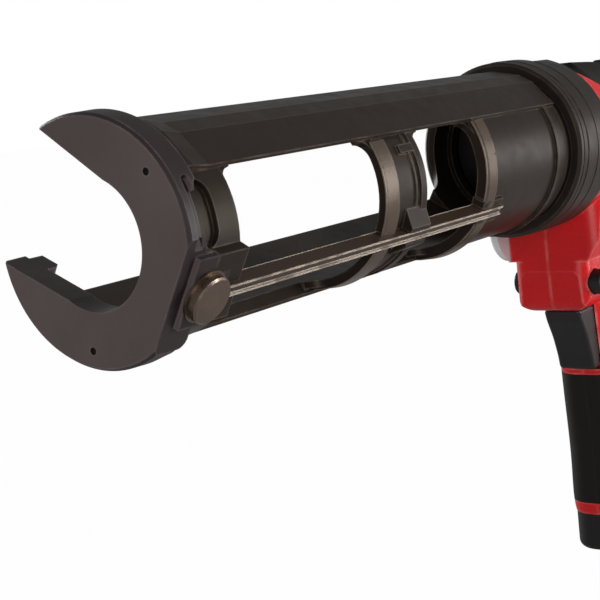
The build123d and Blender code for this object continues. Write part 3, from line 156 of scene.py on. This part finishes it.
# %% Drift of the colour
drift_mm = 35               # patches of paler and darker colour
smear_mm = 7                # patches of duller and shinier surface
palest = 1.12               # how far the colour drifts up
deepest = 0.88              # and down
noise_span = {"From Min": 0.3, "From Max": 0.7}     # noise rarely leaves this range


def drifting_with_side_shade(tree, place, base, painted_side_shade):
    """The base colour with its drift. Where a side colour is given, only faces to the front keep base, and
    the other faces get it as painted shade.
    """
    noise = {"Vector": place, "Scale": per_metre(drift_mm), "Detail": 3.0}
    drift = add(tree, "TexNoise", noise).outputs[0]
    limits = {"To Min": deepest, "To Max": palest}
    shade = add(tree, "MapRange", {"Value": drift, **noise_span, **limits}).outputs[0]
    pair = {0: 1.0, 6: colour(base), 7: shade}
    tinted = add(tree, "Mix", pair, data_type="RGBA", blend_type="MULTIPLY")
    # Painted shade: faces that do not look to the front are drawn in the darker side colour.
    if painted_side_shade:
        normal = add(tree, "NewGeometry").outputs["Normal"]
        along = add(tree, "SeparateXYZ", {0: normal}).outputs["X"]
        front = add(tree, "MapRange", {"Value": along, "From Min": -0.6, "From Max": -0.95}).outputs[0]
        painted_light_and_shade = add(tree, "Mix", {0: front, 6: colour(painted_side_shade), 7: colour(base)}, data_type="RGBA")
        tree.links.new(painted_light_and_shade.outputs[2], tinted.inputs[6])
    return tinted.outputs[2]


print("the colour drifts by", round(100 * (palest - 1)), "% over", drift_mm, "mm")

# %% [markdown]
# ## Coated and moulded surfaces
# Grain, drift, smears and paler edges, from use and on some finishes from a painted
# highlight, make one finish. The real grain of a powder coat or a spark-eroded mould is
# about 0.2 mm across, which is too fine to see from half a metre away, so it is drawn
# several times as coarse. One function builds the network, and each material below only
# gives its own colours and sizes.

# %% A coated or moulded finish
shinier = 0.05              # how far the roughness falls in a smear
duller = 0.06               # and how far it rises
grain_strength = 0.6


def moulded(name, base, wear_and_highlight_colour, rough, grain_mm, depth_mm, wear_and_highlight=0.5, edge_mm=0.9, painted_side_shade=None, **own):
    """A finish with grain. The second colour is that of its paler edges, from use and on some finishes a
    painted highlight; own holds shader inputs.
    """
    material, tree = new_finish(name)
    place = add(tree, "TexCoord").outputs["Object"]
    noise = {"Vector": place, "Scale": per_metre(smear_mm), "Detail": 5.0, "Distortion": 0.4}
    smear = add(tree, "TexNoise", noise).outputs[0]
    wear_and_highlight_mask = wear_and_highlight_edges(tree, edge_mm, smear, wear_and_highlight)
    mixed = {0: wear_and_highlight_mask, 6: drifting_with_side_shade(tree, place, base, painted_side_shade), 7: colour(wear_and_highlight_colour)}
    tone = add(tree, "Mix", mixed, data_type="RGBA").outputs[2]
    limits = {"To Min": rough - shinier, "To Max": rough + duller}
    gloss = add(tree, "MapRange", {"Value": smear, **noise_span, **limits}).outputs[0]
    noise = {"Vector": place, "Scale": per_metre(grain_mm), "Detail": 2.0}
    grain = add(tree, "TexNoise", noise).outputs[0]
    relief = {"Height": grain, "Distance": depth_mm * mm, "Strength": grain_strength}
    bump = add(tree, "Bump", relief).outputs[0]
    values = {"Base Color": tone, "Roughness": gloss, "Normal": bump, **own}
    shader = add(tree, "BsdfPrincipled", values)
    add(tree, "OutputMaterial", {"Surface": shader.outputs[0]})
    return material


def sheen(level, tint="#ffffff"):
    """Shader inputs for how strongly, and in what colour, a coat reflects."""
    return {"Specular IOR Level": level, "Specular Tint": colour(tint)}


print("coated and moulded finishes can be made")

# %% [markdown]
# ## The carriage: coats on aluminium and steel
# The carriage is die-cast aluminium with a satin black powder coat. Such a coat is
# never quite black: it is a warm dark grey that shines softly. Thin paler lines along
# its ridges and corners are a painted highlight. The front yoke has the same coat, but
# its face is given a paler and duller grey, which is painted light, and its side faces a
# dark tone, which is painted shade; the two are told apart by the direction of the
# surface. The beads round the outside are what hands and benches touch; their coat is
# drawn glossier and in a paler brown, and the paler brown is painted light.

# %% Coats of the carriage
# Dark and warm, with thin paler lines along the ridges, which are a painted highlight.
cast_coat = moulded("powder_coated_aluminium", "#241d18", "#7f7267", 0.38, 0.9, 0.05,
                    wear_and_highlight=0.6, edge_mm=0.7, **sheen(0.2, "#ffeedd"))

# A dull grey face with a soft rim, paler than the carriage's coat as painted light, and side faces nearly as
# dark as the rails as painted shade.
yoke_coat_painted_light_and_shade = moulded("powder_coated_yoke_painted_light_and_shade", "#5c5150", "#857876", 0.46, 0.9, 0.05,
                    wear_and_highlight=0.45, edge_mm=0.8, painted_side_shade="#2b2324", **sheen(0.25))

# Glossier, with a clear highlight, and paler than the carriage's coat, which is painted light.
bead_coat_painted_light = moulded("bead_powder_coat_painted_light", "#42362d", "#8d8075", 0.31, 0.9, 0.04,
                    wear_and_highlight=0.4, edge_mm=0.5, **sheen(0.8, "#ffe9d6"))

# A rolled steel strip, brown, with near-white lines along its ridges that are a painted highlight.
spine_coat_painted_highlight = moulded("spine_steel_painted_highlight", "#3a2b22", "#f2e2cf", 0.34, 0.8, 0.03,
                     wear_and_highlight=1.6, edge_mm=0.6)
print("coats of the carriage made")

# %% [markdown]
# ## The body: nylon, rubber and a cast foot
# The shells are glass-filled nylon from a finely textured mould, in a bright red. The
# barrel is the same plastic in black. Grips and cover are a soft rubber moulded over
# the shells, which hardly reflects at all. The foot under the barrel is bare cast
# aluminium. The plastics differ in colour and gloss, so each has its own line.

# %% Plastics and rubber of the body
# Deep black with a low sheen and softly paler rims.
glass_nylon = moulded("glass_filled_nylon_black", "#1f1a17", "#5e534c", 0.40, 1.0, 0.05,
                      wear_and_highlight=0.5, **sheen(0.28, "#ffe9d6"))

# A full red whose long edges are drawn a paler pink: a painted highlight for the light they catch.
red_nylon = moulded("moulded_nylon_red", "#cf0b12", "#f58d88", 0.28, 0.9, 0.035,
                    wear_and_highlight=0.6, edge_mm=1.4, **sheen(0.4))

# Matt and dark: the light dies on it.
black_rubber = moulded("moulded_rubber_black", "#171311", "#393431", 0.62, 0.7, 0.08,
                       wear_and_highlight=0.3, **sheen(0.2))

# Smooth plastic for what a finger presses or turns.
black_plastic = moulded("moulded_plastic_black", "#1c1a1a", "#474342", 0.42, 0.8, 0.03,
                        wear_and_highlight=0.35, **sheen(0.35))

# The battery's shell has a coarser texture than the controls.
battery_plastic = moulded("moulded_battery_black", "#161314", "#4b4746", 0.48, 0.6, 0.06,
                          wear_and_highlight=0.4, **sheen(0.3))

# Bare cast metal with a slightly uneven skin, pale grey, drawn near white as painted light because the foot
# sits in the nose's shade.
case_metal_painted_light = moulded("die_cast_aluminium_painted_light", "#f0ecee", "#faf7f8", 0.36, 1.2, 0.06, wear_and_highlight=0.4)
print("plastics and rubber of the body made")

# %% [markdown]
# ## Small parts inside
# Bushings, seals, magnets, the circuit board and the cells' sleeves are seen only when
# the tool is opened or its rod is drawn. They still get the finish of the real thing,
# from the same function, with little wear, since nothing rubs them.

# %% Moulded and pressed parts inside
# Acetal is milky white and slightly waxy.
acetal = moulded("moulded_acetal_white", "#d8d5cc", "#e6e3da", 0.4, 1.5, 0.02, wear_and_highlight=0.1)

# Nitrile rubber is a dull, even black.
seal_rubber = moulded("nitrile_rubber", "#1c1c1d", "#2c2c2d", 0.55, 1.2, 0.02, wear_and_highlight=0.1)

# Pressed ferrite is a dry grey with a visible grain.
ferrite = moulded("sintered_ferrite", "#3a3837", "#565351", 0.6, 0.7, 0.05, wear_and_highlight=0.2)

# Solder lacquer is a deep green and quite glossy.
board_green = moulded("lacquered_board", "#1d5a34", "#2f7a4a", 0.32, 1.4, 0.01, wear_and_highlight=0.1)

# Shrink film is smooth, and its blue shines along each cell.
cell_sleeve = moulded("shrink_sleeve_blue", "#2f62a4", "#4f80bd", 0.28, 2.5, 0.01, wear_and_highlight=0.1)
print("moulded and pressed parts made")

# %% [markdown]
# ## Bare and plated metal
# Turned, ground and drawn metal carries fine lines along the tool's path. They could be
# cut into the mesh, but they are only microns deep. Here they are noise that a Mapping
# node stretches along one axis, and they change the gloss and, very slightly, the
# height. Real lines are finer than a tenth of a millimetre and are drawn coarser.

# %% A machined metal
line_depth_mm = 0.02        # deeper than a real tool mark, so that it shows
stain_mm = 9                # clouds in the plating or the oxide
polished = 0.08             # how far the roughness falls along a mark
scored = 0.10               # and how far it rises


def machined(name, base, rough, along=(1.0, 1.0, 1.0), line_mm=0.35):
    """A metal with tool marks. along is small on the axis that they follow."""
    material, tree = new_finish(name)
    place = add(tree, "TexCoord").outputs["Object"]
    stretched = add(tree, "Mapping", {"Vector": place, "Scale": along}).outputs[0]
    noise = {"Vector": stretched, "Scale": per_metre(line_mm), "Detail": 2.0}
    lines = add(tree, "TexNoise", noise).outputs[0]
    limits = {"To Min": rough - polished, "To Max": rough + scored}
    gloss = add(tree, "MapRange", {"Value": lines, **noise_span, **limits}).outputs[0]
    noise = {"Vector": place, "Scale": per_metre(stain_mm), "Detail": 4.0}
    stain = add(tree, "TexNoise", noise).outputs[0]
    limits = {"To Min": 0.82, "To Max": 1.08}
    shade = add(tree, "MapRange", {"Value": stain, **noise_span, **limits}).outputs[0]
    pair = {0: 1.0, 6: colour(base), 7: shade}
    tone = add(tree, "Mix", pair, data_type="RGBA", blend_type="MULTIPLY").outputs[2]
    relief = {"Height": lines, "Distance": line_depth_mm * mm, "Strength": 0.5}
    bump = add(tree, "Bump", relief).outputs[0]
    values = {"Base Color": tone, "Roughness": gloss, "Normal": bump, "Metallic": 1.0}
    shader = add(tree, "BsdfPrincipled", values)
    add(tree, "OutputMaterial", {"Surface": shader.outputs[0]})
    return material


print("machined finishes can be made")

# %% Metals
# Black oxide is nearly black, with a dull metal glint.
black_oxide = machined("black_oxide_steel", "#2a2726", 0.42, along=(0.02, 1.0, 1.0))

# Phosphate turns the rivet a warm grey with a soft gleam.
rivet_steel = machined("phosphated_steel", "#7c6c60", 0.34, line_mm=0.8)

# The rod's marks run along it, so its highlight is one long streak.
rod_steel = machined("black_oxide_rod", "#37342f", 0.36, along=(0.02, 1.0, 1.0))

# Ground shafts and the motor's can are bright, with a narrow highlight.
ground_steel = machined("ground_steel", "#b9b9bb", 0.24, along=(1.0, 0.03, 1.0))

# Zinc plate is a cool silver, softly clouded.
zinc_steel = machined("zinc_plated_steel", "#a9abae", 0.32, line_mm=0.9)

# Blackened screws keep a grey shine on their heads.
screw_steel = machined("black_screw_steel", "#56575a", 0.36, line_mm=0.6)

# Cut gear teeth are plain steel under a film of grease.
gear_metal = machined("hobbed_gear_steel", "#9b9b9d", 0.30, line_mm=0.5)

# Sintered bronze is brown and dull, because it is porous.
bronze = machined("sintered_bronze", "#a87a44", 0.45, line_mm=0.6)

# Enamel turns copper wire a deeper orange.
copper = machined("enamelled_copper", "#b06a3a", 0.35, along=(0.05, 1.0, 1.0))

# Drawn wire is smooth and bright.
wire_steel = machined("spring_wire", "#b4b4b6", 0.28, line_mm=0.5)
print("metals made")

# %% [markdown]
# ## Dressing the CAD nodes
# Each solid keeps its mesh and its place, and only the material in its slot changes.
# A table from finish to names is easier to check than a line for each node, and what it
# forgets is printed.

# %% Which node wears which finish
dress = {
    cast_coat: ("carriage_frame",),
    spine_coat_painted_highlight: ("spine_rail",),
    yoke_coat_painted_light_and_shade: ("front_yoke",),
    rivet_steel: ("spine_rivet",),
    zinc_steel: ("plunger_screw", "loop_pin"),
    glass_nylon: ("nose_housing", "coupling_collar"),
    rod_steel: ("push_rod", "pull_loop"),
    black_oxide: ("plunger_disc", "yoke_pins"),
    seal_rubber: ("plunger_seal",),
    acetal: ("rod_guide_front", "rod_guide_rear"),
    gear_metal: ("rack_pinion", "pinion_gear", "bevel_gear", "gearbox_output", "ring_gear",
                 "planet_gear_1", "planet_gear_2", "planet_gear_3"),
    bronze: ("pinion_bearings", "cross_bearings", "output_bearing"),
    ground_steel: ("cross_shaft", "gearbox_can", "motor_can"),
    ferrite: ("motor_magnets",),
    copper: ("motor_rotor",),
    case_metal_painted_light: ("gear_case",),
    red_nylon: ("housing_left", "housing_right"),
    black_rubber: ("top_cover", "grip_left", "grip_right", "release_button"),
    black_plastic: ("trigger", "lock_button", "speed_dial", "switch_module", "terminal_block",
                    "latch_left", "latch_right"),
    screw_steel: ("housing_screws",),
    wire_steel: ("trigger_spring", "release_spring", "latch_spring_left", "latch_spring_right"),
    board_green: ("control_board",),
    battery_plastic: ("battery_case", "battery_base"),
    cell_sleeve: ("battery_cells",),
}
for finish, names in dress.items():
    for name in names:
        for place in nodes[name].material_slots:
            place.material = finish
bare = sorted(set(nodes) - {name for names in dress.values() for name in names})
print("nodes without a finish:", bare)

# %% [markdown]
# ## Beads on the carriage
# The middle hoop and the sleeve carry a raised bead round their outside.
# Seen from the side it is a long slope that rises to the rear, and a short step down.
# A torus would be too round, and a bevel on the hoop would change the CAD, so one small
# profile is spun about the carriage's axis instead, from one rail to the other.

# %% Sizes of the beads
spine_deg = 210.0           # direction of the spine about the axis, in the rest pose
lead_mm = 1.0               # how far the foot runs ahead of the slope
sink_mm = 0.3               # how deep the ring sits in the band under it
step_mm = 0.7               # length of the step at the rear
soft_mm = 0.25              # rounding of the long edges
ring_steps = 64
corner = 0.3                # a turn in radians that counts as an edge
before_spine_end_mm = 12.0  # the sleeve's bead starts this far ahead of the spine's end
between_beads_mm = 60.0
sleeve_front_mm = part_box("spine_rail")[1].x / mm - before_spine_end_mm
hoop_front_mm = sleeve_front_mm - between_beads_mm
print("beads start at", round(hoop_front_mm, 1), "and", round(sleeve_front_mm, 1), "mm")


# %% Spin a bead
def bead(name, front_mm, width_mm, foot_mm, crest_mm, reach_deg):
    """A ring that reaches reach_deg to each side of the spine, from its front edge back."""
    low_mm = foot_mm - sink_mm
    profile = [(-lead_mm, low_mm), (-lead_mm, foot_mm), (width_mm, crest_mm), (width_mm + step_mm, low_mm)]
    first = math.radians(spine_deg - reach_deg)
    ring = bmesh.new()
    corners = []
    for along, r in profile:
        place = Vector((front_mm + along, r * math.cos(first), r * math.sin(first)))
        corners.append(ring.verts.new(place * mm))
    cap = ring.faces.new(corners)
    sweep = math.radians(2 * reach_deg)
    bmesh.ops.spin(ring, geom=[cap], cent=(0, 0, 0), axis=(1, 0, 0), angle=sweep, steps=ring_steps)
    bmesh.ops.recalc_face_normals(ring, faces=ring.faces)
    edges = [edge for edge in ring.edges if edge.is_manifold and edge.calc_face_angle(0) > corner]
    bmesh.ops.bevel(ring, geom=edges, offset=soft_mm * mm, affect="EDGES", segments=2,
                    profile=0.5, material=-1)
    data = bpy.data.meshes.new(name)
    ring.to_mesh(data)
    ring.free()
    # The paler colour of this coat is painted light.
    data.materials.append(bead_coat_painted_light)
    piece = bpy.data.objects.new(name, data)
    scene.collection.objects.link(piece)
    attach(piece, "carriage")
    print(name, "has", len(data.polygons), "faces")


bead("sleeve_bead", sleeve_front_mm, width_mm=5.3, foot_mm=30.05, crest_mm=30.9, reach_deg=60.5)
bead("hoop_bead", hoop_front_mm, width_mm=5.6, foot_mm=29.05, crest_mm=29.8, reach_deg=60.0)

# %% [markdown]
# ## A pale floor
# The tool is held in the air against white, and a real studio would use a paper roll.
# Here the floor is matt and pale, and keeps the object's shadow, but rays that come
# straight from the camera see it mixed with white, so its horizon disappears and very
# little of the shadow shows. Mirrored rays see part of that white, enough to light an
# edge and not to wash the blacks out.

# %% How much of the white a ray sees
def white_share(tree, mirrored):
    """1 for camera rays and rays through glass, mirrored for reflected rays, otherwise 0."""
    path = add(tree, "LightPath").outputs
    seen = add(tree, "Math", {0: path["Is Camera Ray"], 1: path["Is Transmission Ray"]}, operation="MAXIMUM")
    gloss = add(tree, "Math", {0: path["Is Glossy Ray"], 1: mirrored}, operation="MULTIPLY")
    return add(tree, "Math", {0: seen.outputs[0], 1: gloss.outputs[0]}, operation="MAXIMUM").outputs[0]


print("rays are told apart by their path")

# %% Floor
floor_half = 6.0            # metres, so that its edge is far outside every view
floor_gap = 0.5 * mm        # under the lowest point of the tool
floor_white = 0.985         # the rest of what the camera sees is matt, with the shadow

floor_mesh = bmesh.new()
bmesh.ops.create_grid(floor_mesh, x_segments=1, y_segments=1, size=floor_half)
bmesh.ops.translate(floor_mesh, verts=floor_mesh.verts, vec=(0, 0, cad_low.z - floor_gap))
floor_data = bpy.data.meshes.new("floor")
floor_mesh.to_mesh(floor_data)
floor_mesh.free()
floor = bpy.data.objects.new("floor", floor_data)
scene.collection.objects.link(floor)

# Matt studio paint gives an even grey without any highlight.
floor_finish, tree = new_finish("pale_studio_floor")
share = add(tree, "Math", {0: white_share(tree, 0.2), 1: floor_white}, operation="MULTIPLY")
matt = add(tree, "BsdfDiffuse", {"Color": colour("#b0b0b0")})
white = add(tree, "Emission", {"Color": colour("#ffffff"), "Strength": 1.0})
mixed = add(tree, "MixShader", {0: share.outputs[0], 1: matt.outputs[0], 2: white.outputs[0]})
add(tree, "OutputMaterial", {"Surface": mixed.outputs[0]})
floor_data.materials.append(floor_finish)
print("floor at", round(floor_data.vertices[0].co.z / mm, 1), "mm")

# %% [markdown]
# ## Soft light
# A dim, even world fills the shadows. It is white where it is seen straight on, and
# mirrored rays see a tenth of that white.
# The key lamp lights the yoke's face. The side lamp makes the bright middle of the beads
# and the red shell, the rim lamp lays a faint sheen on the hoops and the sleeve, and
# the back and top lamps keep the far side from going black. All of them are large,
# because a small lamp would draw hard, glaring spots on a satin coat.

# %% World
world = bpy.data.worlds.new("studio")
world.use_nodes = True
scene.world = world
tree = world.node_tree
tree.nodes.clear()
dim = add(tree, "Background", {"Color": colour("#ffffff"), "Strength": 0.2})
bright = add(tree, "Background", {"Color": colour("#ffffff"), "Strength": 1.0})
mixed = add(tree, "MixShader", {0: white_share(tree, 0.1), 1: dim.outputs[0], 2: bright.outputs[0]})
add(tree, "OutputWorld", {"Surface": mixed.outputs[0]})
print("world made")

# %% Lamps
def softbox(name, place, target, size, watts):
    """A rectangular lamp at place that faces target; all in metres."""
    lamp = bpy.data.lights.new(name, "AREA")
    lamp.shape = "RECTANGLE"
    lamp.size, lamp.size_y = size
    lamp.energy = watts
    piece = bpy.data.objects.new(name, lamp)
    piece.location = place
    piece.rotation_euler = (Vector(target) - Vector(place)).to_track_quat("-Z", "Y").to_euler()
    scene.collection.objects.link(piece)
    print(name, "gives", watts, "W")


softbox("key_light", (-1.25, -0.75, 0.12), (-0.15, 0.0, -0.02), (0.8, 0.8), 9.5)
softbox("side_light", (0.50, -1.16, 0.08), (0.0, 0.0, 0.0), (0.4, 0.55), 12)
softbox("rim_light", (1.15, -0.66, -0.03), (0.0, 0.0, 0.0), (0.35, 0.45), 1.6)
softbox("back_light", (0.2, 1.35, 0.25), (0.05, 0.0, 0.0), (0.9, 0.8), 12)
softbox("top_light", (0.0, 0.1, 1.3), (-0.05, 0.0, 0.0), (1.2, 0.8), 0.5)

# %% [markdown]
# ## Camera
# The camera stands in front of the yoke, on the tool's left, about half a metre from
# the coupling and slightly above it. It looks back along the carriage with a long lens,
# so the yoke is large and the body runs out of the frame. Its direction is given as two
# vectors, right and forward, because they are easier to read than three angles.

# %% Place the camera
camera_data = bpy.data.cameras.new("camera")
camera_data.lens = 82.91
camera_data.sensor_width = 36.0
camera_data.clip_start = 0.01
camera = bpy.data.objects.new("camera", camera_data)
right = Vector((0.5799, -0.8070, -0.1118)).normalized()
back = -Vector((0.7921, 0.5905, -0.1543)).normalized()
up = back.cross(right)
turn = Matrix((right, up, back)).transposed().to_4x4()
camera.matrix_world = Matrix.Translation((-0.4711, -0.2460, 0.0337)) @ turn
scene.collection.objects.link(camera)
scene.camera = camera
scene.view_settings.view_transform = "Standard"
print("camera at", [round(v, 3) for v in camera.matrix_world.translation])
